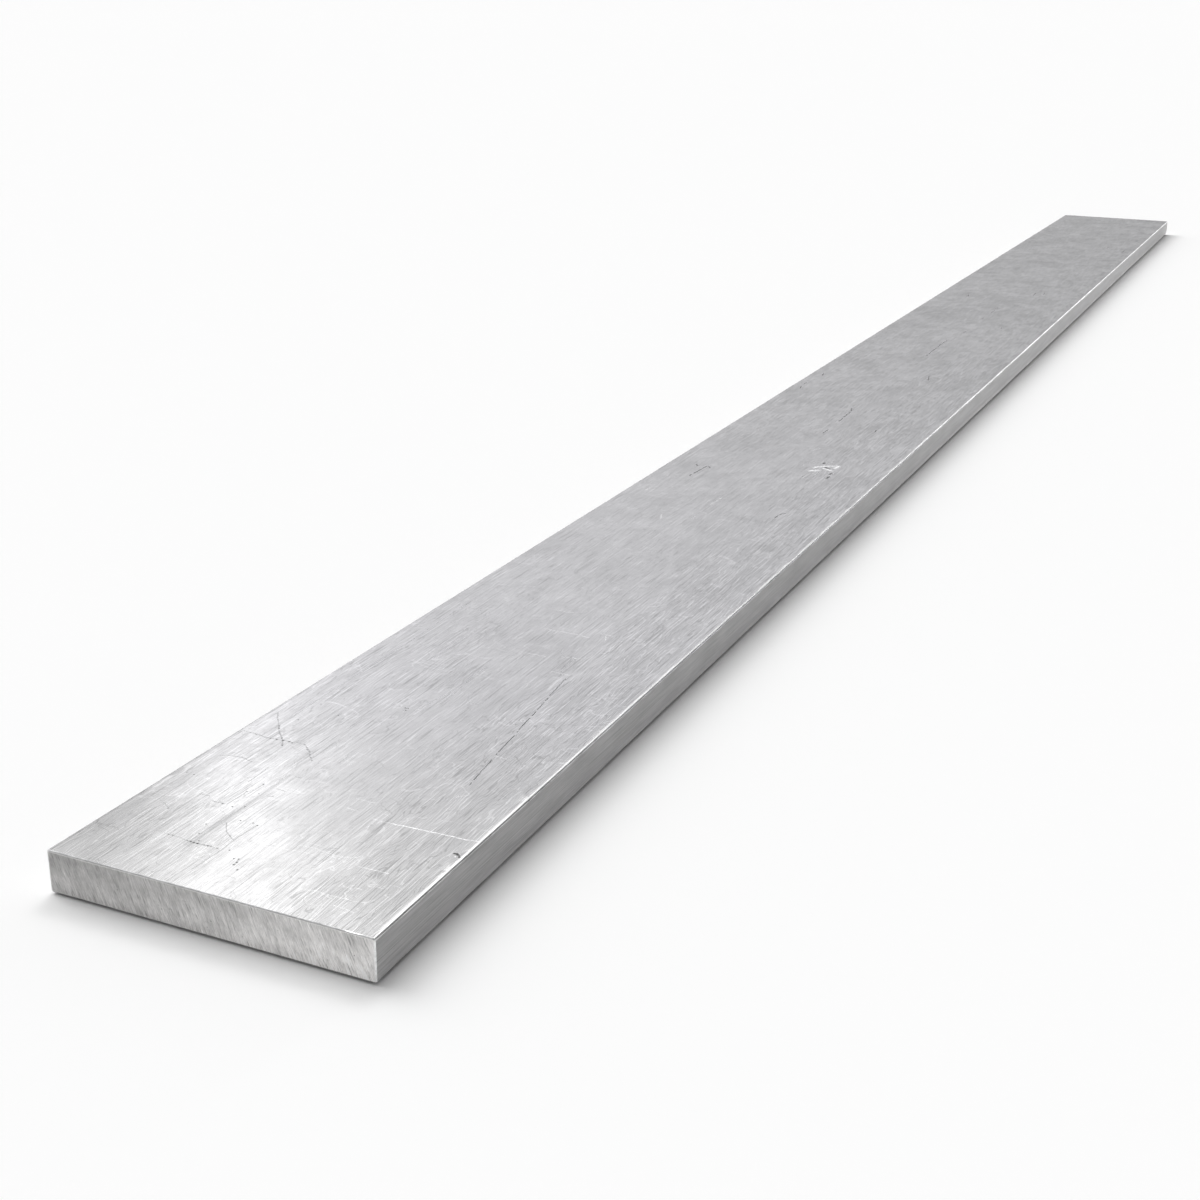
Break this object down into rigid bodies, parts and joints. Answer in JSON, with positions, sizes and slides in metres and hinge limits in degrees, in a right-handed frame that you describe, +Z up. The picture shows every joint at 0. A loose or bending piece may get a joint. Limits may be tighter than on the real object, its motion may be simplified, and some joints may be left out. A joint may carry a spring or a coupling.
{
  "type": "metal flat bar",
  "caption": "Solid rectangular metal bar stock with small rounded long corners and square sawn ends, for brackets, straps and frames.",
  "frame": {"origin": "middle of the lower broad face, which the bar lies on", "axes": "+X along the bar's length, +Y across its width, +Z up through its thickness"},
  "size_m": [1.5, 0.1016, 0.0127],
  "materials": {
    "mill_aluminium": "bare mill finish with fine lengthwise grain, light handling scratches and sawn ends"
  },
  "bodies": {
    "root": {"flat_bar": "mill_aluminium"}
  },
  "joints": []
}
